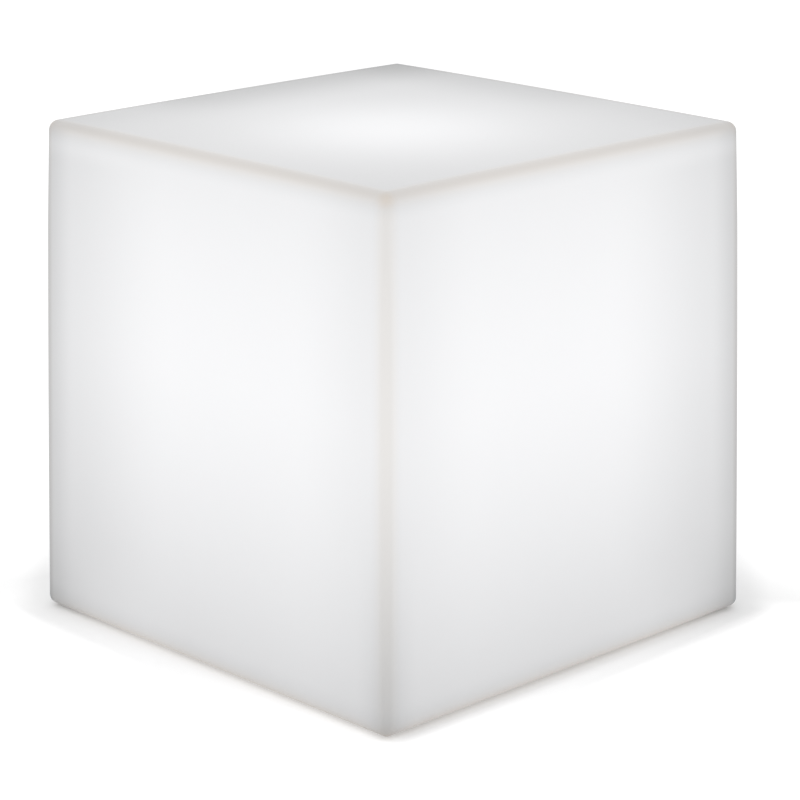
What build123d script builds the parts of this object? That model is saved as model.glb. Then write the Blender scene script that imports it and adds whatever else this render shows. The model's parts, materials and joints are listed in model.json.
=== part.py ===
from build123d import *
import os
from math import cos, hypot, pi, radians, sin, tan

# LED cube light: a hollow translucent cube with a cordless light module screwed into its base.
# Millimetres, +Z up. The origin is on the floor, under the middle of the cube.

# ---- cube shell ----
base_width = 400.0            # across the foot of the cube, before its edges are rounded
shell_height = 400.0
draft_angle = 1.25            # each side leans inwards by this many degrees towards the top
shell_wall = 4.0
edge_radius = 8.0
inner_edge_radius_least = 1.0
foot_proud = 1.5              # the rubber feet lift the shell this far off the floor

# ---- rubber feet ----
foot_inset = 40.0             # from the side of the base to the middle of a foot
foot_radius = 13.0
foot_pocket_depth = 3.5
foot_stem_radius = 4.0
foot_barb_radius = 6.0
foot_barb_height = 5.0
foot_barb_tip_radius = 2.5
foot_edge_radius = 0.6
foot_clearance = 0.1

# ---- well in the base, and how the module is fastened in it ----
well_depth = 12.0
well_clearance = 2.0          # between the module's flange and the wall of the well
well_rim_radius = 1.5
hole_clearance = 2.0          # between the module's can and the hole in the shell
gasket_thickness = 1.5
gasket_margin = 1.0
flange_thickness = 4.0
flange_width = 16.0
flange_edge_radius = 1.0
module_screw_count = 6
module_screw_radius = 2.0
module_screw_length = 12.0
module_screw_head_radius = 4.0
module_screw_head_height = 2.6
insert_radius = 3.0
insert_length = 8.0
insert_boss_radius = 7.0
insert_boss_cap = 3.0

# ---- fits ----
screw_clearance = 0.3         # round a screw where it passes freely
thread_clearance = 0.05       # round a screw where it is threaded
running_clearance = 0.3       # between pieces that move past each other
pivot_clearance = 0.05        # between the hinge pin and the knuckle that turns on it
seat_clearance = 0.15
step = 1.0                    # how far a cutting tool runs past a face

# ---- light module can ----
can_wall = 2.5
lead_space = 8.7              # left free round the battery cradle for the leads
shelf_thickness = 3.0
small_screw_radius = 1.25
small_screw_length = 6.0
small_head_radius = 2.2
small_head_height = 1.6
medium_screw_radius = 1.5
medium_screw_length = 7.0
medium_head_radius = 2.6
medium_head_height = 2.0
recess_width = 0.9            # of the cross in a screw's head
recess_share = 0.6            # of the head's height
boss_wall = 1.8               # of plastic round a screw's pilot hole
boss_floor = 1.2              # of plastic beyond the end of a screw

# ---- charging port ----
port_y = 30.0
pocket_width = 24.0
pocket_length = 14.0
pocket_height = 12.0
pocket_wall = 2.0
ledge_width = 2.0
cover_thickness = 2.0
hinge_height = 1.2            # of the hinge's axis above the outer face of the cover
knuckle_radius = 1.4
knuckle_length = 16.0
knuckle_slot_gap = 0.6
hinge_pin_radius = 0.6
hinge_pin_grip = 3.0
cover_seal_gap = 0.5
cover_seal_wall = 1.6
cover_seal_height = 2.4
nail_notch_width = 10.0
nail_notch_reach = 4.0
nail_notch_depth = 1.2
socket_flange_radius = 6.0
socket_flange_thickness = 1.5
socket_barrel_radius = 4.0
socket_barrel_length = 11.0
socket_bore_radius = 2.9
socket_bore_depth = 10.0
socket_pin_radius = 1.05
socket_pin_recess = 1.5
socket_nut_radius = 6.0
socket_nut_thickness = 2.2
terminal_length = 4.5
terminal_width = 2.4
terminal_thickness = 0.8
terminal_offset = 2.4

# ---- buttons ----
button_x = 15.0               # each side of the middle
button_y = -28.0
button_radius = 6.0
button_proud = 1.5
button_travel = 1.2
button_edge_radius = 0.5
button_dish_radius = 4.2
button_dish_depth = 0.4
shoulder_radius = 8.0
shoulder_thickness = 1.0
button_top_height = 1.2       # of the cap above its shoulder
button_neck_radius = 4.0
boot_wall = 0.6
boot_flange_width = 2.6
boot_flange_thickness = 0.8
switch_width = 6.0
switch_height = 4.3
plunger_radius = 1.75
plunger_reach = 1.8           # of the plunger inside the switch at rest

# ---- control board ----
board_width = 68.0
board_length = 32.0
board_y = -26.0
board_thickness = 1.6
board_screw_inset = 4.0
board_space = 1.2             # between the corners of the board and the can
connector_width = 8.0
connector_length = 6.0
connector_height = 5.0
connector_spacing = 20.0
connector_inset = 6.0
pipe_radius = 1.5
pipe_collar_radius = 2.5
pipe_collar_thickness = 1.2
pipe_proud = 0.4
indicator_height = 1.0
chip_width = 7.0
chip_height = 1.0
coil_width = 6.0
coil_height = 3.0
capacitor_radius = 3.0
capacitor_height = 6.0
resistor_count = 6
resistor_length = 2.0
resistor_width = 1.2
resistor_height = 0.6
resistor_pitch = 3.2

# ---- breather vent ----
vent_x = 34.0
vent_y = 16.0
vent_head_radius = 6.0
vent_head_thickness = 1.2
vent_stem_radius = 4.0
vent_bore_radius = 1.0

# ---- battery ----
cell_count = 2
cell_radius = 9.2
cell_length = 65.2
cell_gap = 0.4
tab_thickness = 0.3
tab_height = 8.0
cradle_floor = 2.0
cradle_wall = 2.0
cradle_wall_rise = 1.0        # of the cradle's walls above the middle of the cells
saddle_drop = 5.0             # from the middle of the cells to the top of the saddles
ear_radius = 5.0
ear_y = 12.0
post_radius = 3.5
lug_width = 12.0
lug_length = 8.0
strap_thickness = 1.0
strap_space = 1.5             # above the strap, below the shelf of the can
lead_height = 6.0             # room for the leads under the cradle

# ---- leads ----
lead_radius = 1.3
lead_bend = 3.2
lead_rise = 5.9               # straight up out of a connector before the first bend
battery_lead_x = 48.0
battery_lead_low_y = -20.0
battery_lead_drop = 4.0

# ---- top of the module: heat spreader, LED board and dome ----
dome_screw_count = 6
dome_screw_inset = 2.9        # from the outside of the can
seal_inset = 7.0
seal_radius = 0.95
seal_groove_width = 2.4
seal_groove_clearance = 0.05
spreader_inset = 10.0
spreader_thickness = 2.5
spreader_clearance = 0.3
shelf_overlap = 6.0
spreader_screw_count = 4
spreader_screw_inset = 3.0
spreader_screw_angle = 20.0
grommet_angle = -47.0
grommet_inset = 4.0           # from the edge of the shelf to the middle of the grommet
grommet_flange_radius = 3.5
grommet_neck_radius = 2.5
grommet_flange_thickness = 1.5
grommet_lip_thickness = 0.8    # on the side of the LED board
thermal_pad_thickness = 0.5
led_board_thickness = 1.6
led_board_gap = 0.5           # between the LED board and the grommet
led_board_screw_count = 4
led_board_screw_inset = 3.5
led_width = 5.0
led_height = 1.6
led_lens_radius = 1.9
led_lens_depth = 0.4
outer_led_count = 12
outer_led_circle = 22.0       # from the middle to the outer ring of LEDs
inner_led_count = 4
inner_led_circle = 9.0
led_connector_width = 5.0
led_connector_height = 4.0
led_connector_inset = 5.0
dome_flange_thickness = 3.0
dome_wall = 2.0
dome_height = 34.0
dome_foot = 0.5               # from the flange's bore out to the foot of the dome

# ---- heights, from the floor upwards ----
shell_bottom = foot_proud
well_ceiling = shell_bottom + well_depth
well_top = well_ceiling + shell_wall
foot_ceiling = shell_bottom + foot_pocket_depth
plate_top = well_ceiling - gasket_thickness
plate_bottom = plate_top - flange_thickness
pocket_ceiling = plate_bottom + pocket_height
pocket_top = pocket_ceiling + pocket_wall
socket_face = pocket_ceiling - socket_flange_thickness
barrel_top = pocket_ceiling + socket_barrel_length
terminal_top = barrel_top + terminal_length
button_face = plate_bottom - button_proud
shoulder_bottom = plate_top + running_clearance
shoulder_top = shoulder_bottom + shoulder_thickness
button_top = shoulder_top + button_top_height
boot_top = button_top + boot_wall
switch_bottom = boot_top + button_travel + running_clearance + seat_clearance
board_bottom = switch_bottom + switch_height
board_top = board_bottom + board_thickness
connector_top = board_top + connector_height
cradle_bottom = terminal_top + lead_height
cradle_floor_top = cradle_bottom + cradle_floor
cell_middle = cradle_floor_top + cell_radius + seat_clearance
strap_bottom = cell_middle + cell_radius + seat_clearance
strap_top = strap_bottom + strap_thickness
shelf_bottom = strap_top + strap_space
shelf_top = shelf_bottom + shelf_thickness
rim_top = shelf_top + spreader_thickness
led_board_bottom = rim_top + thermal_pad_thickness
led_board_top = led_board_bottom + led_board_thickness
dome_base = rim_top + dome_flange_thickness
cover_top = plate_bottom + cover_thickness
hinge_z = plate_bottom + hinge_height

# ---- plan sizes ----
cradle_inner_length = cell_length + 2 * (tab_thickness + seat_clearance)
cradle_length = cradle_inner_length + 2 * cradle_wall
cell_pitch = 2 * cell_radius + cell_gap
cradle_inner_width = (cell_count - 1) * cell_pitch + 2 * (cell_radius + seat_clearance)
cradle_width = cradle_inner_width + 2 * cradle_wall
ear_x = cradle_length / 2 + ear_radius
board_corner = hypot(board_width / 2, abs(board_y) + board_length / 2)
can_inner_radius = max(hypot(ear_x, ear_y) + ear_radius + lead_space, board_corner + board_space)
can_radius = can_inner_radius + can_wall
flange_radius = can_radius + flange_width
well_radius = flange_radius + well_clearance
hole_radius = can_radius + hole_clearance
module_screw_circle = can_radius + flange_width / 2 + hole_clearance / 2
foot_place = base_width / 2 - foot_inset
spreader_radius = can_radius - spreader_inset
shelf_inner_radius = spreader_radius - shelf_overlap
spreader_screw_circle = spreader_radius - spreader_screw_inset
grommet_circle = shelf_inner_radius - grommet_inset
grommet_x = grommet_circle * cos(radians(grommet_angle))
grommet_y = grommet_circle * sin(radians(grommet_angle))
led_board_radius = grommet_circle - grommet_flange_radius - led_board_gap
led_board_screw_circle = led_board_radius - led_board_screw_inset
dome_screw_circle = can_radius - dome_screw_inset
seal_circle = can_radius - seal_inset
dome_bore_radius = spreader_radius + dome_foot
rebate_width = pocket_width + 2 * ledge_width
rebate_length = pocket_length + 2 * ledge_width
cover_width = rebate_width - 2 * running_clearance
hinge_y = port_y - rebate_length / 2 - knuckle_radius
cover_near_y = hinge_y + hypot(knuckle_radius + running_clearance, hinge_height)
cover_far_y = port_y + rebate_length / 2 - running_clearance
connector_y = board_y + board_length / 2 - connector_inset


def disc(radius, bottom, top, x=0.0, y=0.0):
    """Upright cylinder between two heights."""
    return Pos(x, y, bottom) * extrude(Circle(radius), amount=top - bottom)


def ring(outer, inner, bottom, top, x=0.0, y=0.0):
    """Upright tube between two heights."""
    return Pos(x, y, bottom) * extrude(Circle(outer) - Circle(inner), amount=top - bottom)


def block(width, length, bottom, top, x=0.0, y=0.0):
    """Upright box between two heights."""
    return Pos(x, y, bottom) * extrude(Rectangle(width, length), amount=top - bottom)


def round_places(radius, count, start=0.0):
    """Evenly spaced places on a circle about the middle."""
    angles = [radians(start + 360.0 * i / count) for i in range(count)]
    return [(radius * cos(a), radius * sin(a)) for a in angles]


def mirrored_places(x, y):
    """The four places (+-x, +-y)."""
    return [(sx * x, sy * y) for sx in (-1, 1) for sy in (-1, 1)]


def screw(radius, length, head_radius, head_height):
    """Cross-recessed pan-head screw: the seat of its head at z = 0, its shank pointing up."""
    head = disc(head_radius, -head_height, 0.0)
    head = fillet(head.edges().sort_by(Axis.Z)[0], head_height / 3)
    recess = head_height * recess_share
    for width, depth in ((recess_width, head_radius), (head_radius, recess_width)):
        head -= block(width, depth, -head_height - step, recess - head_height)
    return head + disc(radius, 0.0, length)


def module_screw():
    """Screw that holds the module in the shell."""
    return screw(module_screw_radius, module_screw_length, module_screw_head_radius, module_screw_head_height)


def small_screw():
    """Screw for the control board, the strap and the dome."""
    return screw(small_screw_radius, small_screw_length, small_head_radius, small_head_height)


def medium_screw(length=medium_screw_length):
    """Screw for the cradle, the heat spreader and the LED board."""
    return screw(medium_screw_radius, length, medium_head_radius, medium_head_height)


def pointing_down(fastener, x, y, seat):
    """A fastener turned over, its head on top of the face at height seat."""
    return Pos(x, y, seat) * Rot(180, 0, 0) * fastener


def side_half_width(height):
    """Half the width of the cube at a height, on its drafted sides."""
    return base_width / 2 - (height - shell_bottom) * tan(radians(draft_angle))


def cube_form(inset, radius):
    """The drafted, rounded cube, all its faces moved inwards by inset."""
    bottom = shell_bottom + inset
    width = 2 * (side_half_width(bottom) - inset / cos(radians(draft_angle)))
    height = shell_height - 2 * inset
    form = Pos(0, 0, bottom) * extrude(Rectangle(width, width), amount=height, taper=draft_angle)
    return fillet(form.edges(), radius)


def cube_shell():
    """One hollow moulding: the cube, the well in its base, the foot pockets and the insert bosses."""
    inner_radius = max(edge_radius - shell_wall, inner_edge_radius_least)
    shell = cube_form(0.0, edge_radius) - cube_form(shell_wall, inner_radius)
    shell += disc(well_radius + shell_wall, shell_bottom, well_top)
    for x, y in mirrored_places(foot_place, foot_place):
        shell += disc(foot_radius + shell_wall, shell_bottom, foot_ceiling + shell_wall, x, y)
        shell -= disc(foot_radius + foot_clearance, shell_bottom - step, foot_ceiling, x, y)
        shell -= disc(foot_stem_radius + foot_clearance, foot_ceiling - step,
                      foot_ceiling + shell_wall + step, x, y)
    for x, y in round_places(module_screw_circle, module_screw_count):
        shell += disc(insert_boss_radius, well_top, well_ceiling + insert_length + insert_boss_cap, x, y)
    shell -= disc(well_radius, shell_bottom - step, well_ceiling)
    shell -= disc(hole_radius, well_ceiling - step, well_top + insert_length)
    for x, y in round_places(module_screw_circle, module_screw_count):
        shell -= disc(insert_radius, well_ceiling - step, well_ceiling + insert_length, x, y)
    rim = shell.edges().filter_by(GeomType.CIRCLE).filter_by(
        lambda e: abs(e.radius - well_radius) < step and abs(e.center().Z - shell_bottom) < step)
    return fillet(rim, well_rim_radius)


def threaded_inserts():
    """Brass inserts moulded into the bosses."""
    bore = module_screw_radius + thread_clearance
    return [ring(insert_radius, bore, well_ceiling, well_ceiling + insert_length, x, y)
            for x, y in round_places(module_screw_circle, module_screw_count)]


def foot_pads():
    """Push-in rubber feet, each held by its barb."""
    barb_seat = foot_ceiling + shell_wall
    pads = []
    for x, y in mirrored_places(foot_place, foot_place):
        head = disc(foot_radius, 0.0, foot_ceiling)
        head = fillet(head.edges().sort_by(Axis.Z)[0], foot_edge_radius)
        stem = disc(foot_stem_radius, foot_ceiling, barb_seat)
        barb = Cone(foot_barb_radius, foot_barb_tip_radius, foot_barb_height)
        barb = Pos(0, 0, barb_seat + foot_barb_height / 2) * barb
        pads.append(Pos(x, y, 0) * (head + stem + barb))
    return pads


def module_gasket():
    """Flat seal between the module's flange and the ceiling of the well."""
    gasket = ring(flange_radius - gasket_margin, hole_radius + gasket_margin, plate_top, well_ceiling)
    for x, y in round_places(module_screw_circle, module_screw_count):
        gasket -= disc(module_screw_radius + screw_clearance, plate_top - step, well_ceiling + step, x, y)
    return gasket


def board_screw_places():
    """Corners of the control board where it is screwed down."""
    x = board_width / 2 - board_screw_inset
    reach = board_length / 2 - board_screw_inset
    return [(sx * x, board_y + sy * reach) for sx in (-1, 1) for sy in (-1, 1)]


def strap_screw_places():
    """Lugs each side of the cradle where the strap is screwed down."""
    y = cradle_width / 2 + lug_length / 2 + strap_thickness / 2
    return [(0.0, -y), (0.0, y)]


def can_rim():
    """Top of the can: the shelf for the heat spreader, its bosses, and the rim for the dome."""
    rim = ring(can_radius, shelf_inner_radius, shelf_bottom, shelf_top)
    rim += ring(can_radius, spreader_radius + spreader_clearance, shelf_top, rim_top)
    boss_bottom = rim_top - medium_screw_length - boss_floor
    for x, y in round_places(spreader_screw_circle, spreader_screw_count, spreader_screw_angle):
        rim += disc(medium_screw_radius + boss_wall, boss_bottom, shelf_top, x, y)
        rim -= disc(medium_screw_radius + thread_clearance, rim_top - medium_screw_length,
                    shelf_top + step, x, y)
    for x, y in round_places(dome_screw_circle, dome_screw_count):
        rim -= disc(small_screw_radius + thread_clearance, dome_base - small_screw_length,
                    rim_top + step, x, y)
    groove = seal_groove_width / 2
    rim -= ring(seal_circle + groove, seal_circle - groove,
                rim_top - 2 * seal_radius - seal_groove_clearance, rim_top + step)
    return rim


def port_walls():
    """Plastic round the charging port's pocket, standing on the plate."""
    return block(pocket_width + 2 * pocket_wall, pocket_length + 2 * pocket_wall, plate_bottom, pocket_top,
                 y=port_y)


def port_cuts():
    """The pocket, the rebate its cover closes, the slot for the knuckle, the pin's hole and the nail notch."""
    cuts = block(pocket_width, pocket_length, plate_bottom - step, pocket_ceiling, y=port_y)
    cuts += block(rebate_width, rebate_length, plate_bottom - step, cover_top + running_clearance, y=port_y)
    slot_near = hinge_y - knuckle_radius - knuckle_slot_gap
    slot_far = hinge_y + knuckle_radius + running_clearance
    cuts += block(knuckle_length + 2 * running_clearance, slot_far - slot_near, plate_bottom - step,
                  hinge_z + knuckle_radius + running_clearance, y=(slot_near + slot_far) / 2)
    cuts += hinge_rod(hinge_pin_radius, hinge_pin_length())
    cuts += disc(socket_barrel_radius + thread_clearance, pocket_ceiling - step, pocket_top + step, y=port_y)
    notch_y = port_y + rebate_length / 2 + nail_notch_reach / 2
    cuts += block(nail_notch_width, nail_notch_reach, plate_bottom - step,
                  plate_bottom + nail_notch_depth, y=notch_y)
    return cuts


def hinge_pin_length():
    """Length of the hinge pin: the knuckle and its grip in the plate at each end."""
    return knuckle_length + 2 * (running_clearance + hinge_pin_grip)


def hinge_rod(radius, length):
    """A round bar on the hinge's axis, along X."""
    return Pos(-length / 2, hinge_y, hinge_z) * Rot(0, 90, 0) * extrude(Circle(radius), amount=length)


def module_housing():
    """Flanged cup that holds the whole light module."""
    cup = disc(flange_radius, plate_bottom, plate_top)
    cup = fillet(cup.edges().sort_by(Axis.Z)[0], flange_edge_radius)
    cup += ring(can_radius, can_inner_radius, plate_top, shelf_bottom)
    cup += can_rim()
    cup += port_walls()
    for x, y in board_screw_places():
        cup += disc(small_screw_radius + boss_wall, plate_top, board_bottom, x, y)
        cup -= disc(small_screw_radius + thread_clearance, board_top - small_screw_length,
                    board_bottom + step, x, y)
    for x, y in mirrored_places(ear_x, ear_y):
        cup += disc(post_radius, plate_top, cradle_bottom, x, y)
        cup -= disc(medium_screw_radius + thread_clearance, cradle_floor_top - medium_screw_length,
                    cradle_bottom + step, x, y)
    for x, y in round_places(module_screw_circle, module_screw_count):
        cup -= disc(module_screw_radius + screw_clearance, plate_bottom - step, plate_top + step, x, y)
    for x in (-button_x, button_x):
        cup -= disc(button_radius + running_clearance, plate_bottom - step, plate_top + step, x, button_y)
    cup -= disc(pipe_radius + thread_clearance, plate_bottom - step, plate_top + step, 0.0, button_y)
    cup -= disc(vent_stem_radius + thread_clearance, plate_bottom - step, plate_top + step, vent_x, vent_y)
    return cup - port_cuts()


def charging_socket():
    """Barrel socket for a 5.5 mm plug, its mouth facing down into the pocket."""
    socket = disc(socket_flange_radius, socket_face, pocket_ceiling, y=port_y)
    socket += disc(socket_barrel_radius, pocket_ceiling, barrel_top, y=port_y)
    socket -= disc(socket_bore_radius, socket_face - step, socket_face + socket_bore_depth, y=port_y)
    for side in (-1, 1):
        socket += block(terminal_width, terminal_thickness, barrel_top, terminal_top,
                        y=port_y + side * terminal_offset)
    return socket


def charging_socket_pin():
    """Centre contact of the charging socket."""
    blind_end = socket_face + socket_bore_depth
    pin = disc(socket_pin_radius, socket_face + socket_pin_recess, blind_end, y=port_y)
    return fillet(pin.edges().sort_by(Axis.Z)[0], socket_pin_radius / 2)


def charging_socket_nut():
    """Hexagon nut that clamps the socket against the pocket's ceiling."""
    flats = RegularPolygon(socket_nut_radius, 6) - Circle(socket_barrel_radius + thread_clearance)
    return Pos(0, port_y, pocket_top) * extrude(flats, amount=socket_nut_thickness)


def port_cover():
    """Lid over the charging port, with the knuckle that it turns on."""
    lid = block(cover_width, cover_far_y - cover_near_y, plate_bottom, cover_top,
                y=(cover_near_y + cover_far_y) / 2)
    lid += block(knuckle_length, cover_near_y - hinge_y, plate_bottom, cover_top,
                 y=(hinge_y + cover_near_y) / 2)
    lid += hinge_rod(knuckle_radius, knuckle_length)
    return lid - hinge_rod(hinge_pin_radius + pivot_clearance, knuckle_length + 2 * step)


def port_cover_pin():
    """Steel hinge pin, gripped by the plate at both ends."""
    return hinge_rod(hinge_pin_radius, hinge_pin_length())


def port_cover_seal():
    """Soft frame on the inner face of the cover that plugs the mouth of the pocket."""
    width = pocket_width - 2 * cover_seal_gap
    length = pocket_length - 2 * cover_seal_gap
    frame = block(width, length, cover_top, cover_top + cover_seal_height, y=port_y)
    return frame - block(width - 2 * cover_seal_wall, length - 2 * cover_seal_wall,
                         cover_top - step, cover_top + cover_seal_height + step, y=port_y)


def push_button(x):
    """Round cap that slides up through the plate, stopped by its shoulder."""
    cap = disc(button_radius, button_face, shoulder_bottom)
    cap = fillet(cap.edges().sort_by(Axis.Z)[0], button_edge_radius)
    cap -= disc(button_dish_radius, button_face - step, button_face + button_dish_depth)
    cap += disc(shoulder_radius, shoulder_bottom, shoulder_top)
    cap += disc(button_neck_radius, shoulder_top, button_top)
    return Pos(x, button_y, 0) * cap


def button_boot(x):
    """Soft sealing boot over a button's inner end, bonded to the plate."""
    inner = shoulder_radius + seat_clearance + running_clearance
    outer = inner + boot_wall
    boot = disc(outer, plate_top, boot_top) - disc(inner, plate_top - step, button_top)
    boot += ring(outer + boot_flange_width, inner, plate_top, plate_top + boot_flange_thickness)
    boot -= disc(plunger_radius + seat_clearance, button_top - step, boot_top + step)
    return Pos(x, button_y, 0) * boot


def tact_switch(x):
    """Switch on the underside of the control board, open below for its plunger."""
    body = block(switch_width, switch_width, switch_bottom, board_bottom)
    bore_top = switch_bottom + plunger_reach + button_travel + running_clearance
    body -= disc(plunger_radius + running_clearance, switch_bottom - step, bore_top)
    return Pos(x, button_y, 0) * body


def switch_plunger(x):
    """The switch's own plunger, which rests on the button and moves with it."""
    return disc(plunger_radius, button_top, switch_bottom + plunger_reach, x, button_y)


def control_board():
    """Circuit board that carries the switches, the charger and the LED driver."""
    board = block(board_width, board_length, board_bottom, board_top, y=board_y)
    for x, y in board_screw_places():
        board -= disc(small_screw_radius + screw_clearance, board_bottom - step, board_top + step, x, y)
    return board


def board_components():
    """Chips, coil, capacitors, resistors and the indicator's own LED."""
    chip_x = connector_spacing
    parts = [block(chip_width, chip_width, board_top, board_top + chip_height, -chip_x, board_y),
             block(coil_width, coil_width, board_top, board_top + coil_height, chip_x, board_y),
             block(chip_width, connector_length, board_top, board_top + chip_height, 0.0, board_y),
             block(resistor_length, resistor_width, board_bottom - indicator_height, board_bottom,
                   0.0, button_y)]
    row_y = board_y - board_length / 2 + board_screw_inset
    for side in (-1, 1):
        parts.append(disc(capacitor_radius, board_top, board_top + capacitor_height, side * chip_x, row_y))
    for i in range(resistor_count):
        x = (i - (resistor_count - 1) / 2) * resistor_pitch
        parts.append(block(resistor_width, resistor_length, board_top, board_top + resistor_height, x, row_y))
    return parts


def indicator_light_pipe():
    """Clear rod that brings the charging indicator's light down through the plate."""
    pipe = disc(pipe_radius, plate_bottom - pipe_proud, board_bottom - indicator_height - seat_clearance)
    pipe += disc(pipe_collar_radius, plate_top, plate_top + pipe_collar_thickness)
    return Pos(0, button_y, 0) * pipe


def breather_vent():
    """Snap-in plug with a fine bore that lets the sealed cube breathe."""
    vent = disc(vent_head_radius, plate_bottom - vent_head_thickness, plate_bottom)
    vent = fillet(vent.edges().sort_by(Axis.Z)[0], vent_head_thickness / 3)
    vent += disc(vent_stem_radius, plate_bottom, plate_top)
    vent -= disc(vent_bore_radius, plate_bottom - vent_head_thickness - step, plate_top + step)
    return Pos(vent_x, vent_y, 0) * vent


def cell_places():
    """Y of each cell's axis."""
    return [(i - (cell_count - 1) / 2) * cell_pitch for i in range(cell_count)]


def cell_rod(radius, length, y):
    """A round bar along X at a cell's axis."""
    return Pos(-length / 2, y, cell_middle) * Rot(0, 90, 0) * extrude(Circle(radius), amount=length)


def battery_cells():
    """The rechargeable cells, side by side."""
    cells = []
    for y in cell_places():
        cell = cell_rod(cell_radius, cell_length, y)
        cells.append(fillet(cell.edges().filter_by(GeomType.CIRCLE), tab_thickness))
    return cells


def battery_cradle():
    """Tray with saddles for the cells, lugs for the strap and ears for its own screws."""
    wall_top = cell_middle + cradle_wall_rise
    tray = block(cradle_length, cradle_width, cradle_bottom, wall_top)
    tray -= block(cradle_inner_length, cradle_inner_width, cell_middle - saddle_drop, wall_top + step)
    for y in cell_places():
        tray -= cell_rod(cell_radius + seat_clearance, cradle_inner_length, y)
    lug_y = cradle_width / 2 + (lug_length + strap_thickness) / 2
    for side in (-1, 1):
        tray += block(lug_width, lug_length + strap_thickness, cradle_bottom, cell_middle, y=side * lug_y)
    for x, y in strap_screw_places():
        tray -= disc(small_screw_radius + thread_clearance, cell_middle + strap_thickness - small_screw_length,
                     cell_middle + step, x, y)
    for x, y in mirrored_places(ear_x, ear_y):
        bridge_x = x - ear_radius / 2 * x / abs(x)
        tray += disc(ear_radius, cradle_bottom, cradle_floor_top, x, y)
        tray += block(ear_radius, 2 * ear_radius, cradle_bottom, cradle_floor_top, bridge_x, y)
        tray -= disc(medium_screw_radius + screw_clearance, cradle_bottom - step,
                     cradle_floor_top + step, x, y)
    return tray


def battery_tabs():
    """Metal strips that join the cells at each end."""
    width = cell_pitch + tab_height
    x = (cell_length + tab_thickness) / 2
    return [block(tab_thickness, width, cell_middle - tab_height / 2, cell_middle + tab_height / 2, side * x)
            for side in (-1, 1)]


def battery_strap():
    """Bent strip over the cells, screwed to the cradle's lugs."""
    leg_y = cradle_width / 2 + seat_clearance + strap_thickness / 2
    foot_end = cradle_width / 2 + lug_length + strap_thickness
    foot_start = leg_y - strap_thickness / 2
    strap = block(lug_width, 2 * leg_y + strap_thickness, strap_bottom, strap_top)
    for side in (-1, 1):
        strap += block(lug_width, strap_thickness, cell_middle, strap_top, y=side * leg_y)
        strap += block(lug_width, foot_end - foot_start, cell_middle, cell_middle + strap_thickness,
                       y=side * (foot_start + foot_end) / 2)
    for x, y in strap_screw_places():
        strap -= disc(small_screw_radius + screw_clearance, cell_middle - step,
                      cell_middle + strap_thickness + step, x, y)
    return strap


def lead_connectors():
    """Plug-in connectors: three on the control board, one on the LED board."""
    parts = [block(connector_width, connector_length, board_top, connector_top, x, connector_y)
             for x in (-connector_spacing, 0.0, connector_spacing)]
    body = block(led_connector_width, led_connector_width, led_board_top, led_board_top + led_connector_height,
                 led_connector_place())
    parts.append(Rot(0, 0, grommet_angle) * body)
    return parts


def led_connector_place():
    """Distance of the LED board's connector from the middle."""
    return led_board_radius - led_connector_inset


def lead(points):
    """Round lead along straight runs joined by tangent arcs."""
    path = FilletPolyline(*points, radius=lead_bend)
    start = Plane(origin=points[0], z_dir=Vector(*points[1]) - Vector(*points[0]))
    tube = sweep(start * Circle(lead_radius), path=path)
    share = tube.volume / (pi * lead_radius ** 2 * path.length)
    print("lead of", round(path.length, 1), "mm, bends", lead_bend, "mm, volume share", round(share, 4))
    return tube


def battery_lead():
    """From the control board's connector to the end wall of the battery cradle."""
    x = connector_spacing
    low = connector_top + lead_rise
    end_z = cell_middle - battery_lead_drop
    return lead([(-x, connector_y, connector_top), (-x, connector_y, low),
                 (-battery_lead_x, battery_lead_low_y, low), (-battery_lead_x, 0.0, end_z),
                 (-cradle_length / 2, 0.0, end_z)])


def socket_lead():
    """From the charging socket's terminals to the control board, under the cradle."""
    run = terminal_top + lead_height / 2 + lead_radius / 2
    return lead([(0.0, port_y, terminal_top), (0.0, port_y, run), (0.0, connector_y, run),
                 (0.0, connector_y, connector_top)])


def led_lead():
    """From the control board up through the heat spreader to the LED board."""
    x = connector_spacing
    low = connector_top + lead_rise
    top = led_board_top + led_connector_height / 2
    end_circle = led_connector_place() + led_connector_width / 2
    end_x = end_circle * cos(radians(grommet_angle))
    end_y = end_circle * sin(radians(grommet_angle))
    return lead([(x, connector_y, connector_top), (x, connector_y, low), (grommet_x, grommet_y, cradle_bottom),
                 (grommet_x, grommet_y, top), (end_x, end_y, top)])


def lead_grommet():
    """Soft bush that lines the lead's hole in the heat spreader."""
    bush = disc(grommet_neck_radius, shelf_top, rim_top, grommet_x, grommet_y)
    bush += disc(grommet_flange_radius, shelf_top - grommet_flange_thickness, shelf_top, grommet_x, grommet_y)
    bush += disc(grommet_flange_radius, rim_top, rim_top + grommet_lip_thickness, grommet_x, grommet_y)
    return bush - disc(lead_radius + thread_clearance, shelf_bottom - step, led_board_top + step,
                       grommet_x, grommet_y)


def heat_spreader():
    """Aluminium disc that carries the LED board and closes the can."""
    plate = disc(spreader_radius, shelf_top, rim_top)
    plate -= disc(grommet_neck_radius, shelf_top - step, rim_top + step, grommet_x, grommet_y)
    for x, y in round_places(spreader_screw_circle, spreader_screw_count, spreader_screw_angle):
        plate -= disc(medium_screw_radius + screw_clearance, shelf_top - step, rim_top + step, x, y)
    for x, y in round_places(led_board_screw_circle, led_board_screw_count):
        plate -= disc(medium_screw_radius + thread_clearance, shelf_top - step, rim_top + step, x, y)
    return plate


def led_disc(bottom, top):
    """Disc of the LED board's size, with its screw holes."""
    plate = disc(led_board_radius, bottom, top)
    for x, y in round_places(led_board_screw_circle, led_board_screw_count):
        plate -= disc(medium_screw_radius + screw_clearance, bottom - step, top + step, x, y)
    return plate


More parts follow.
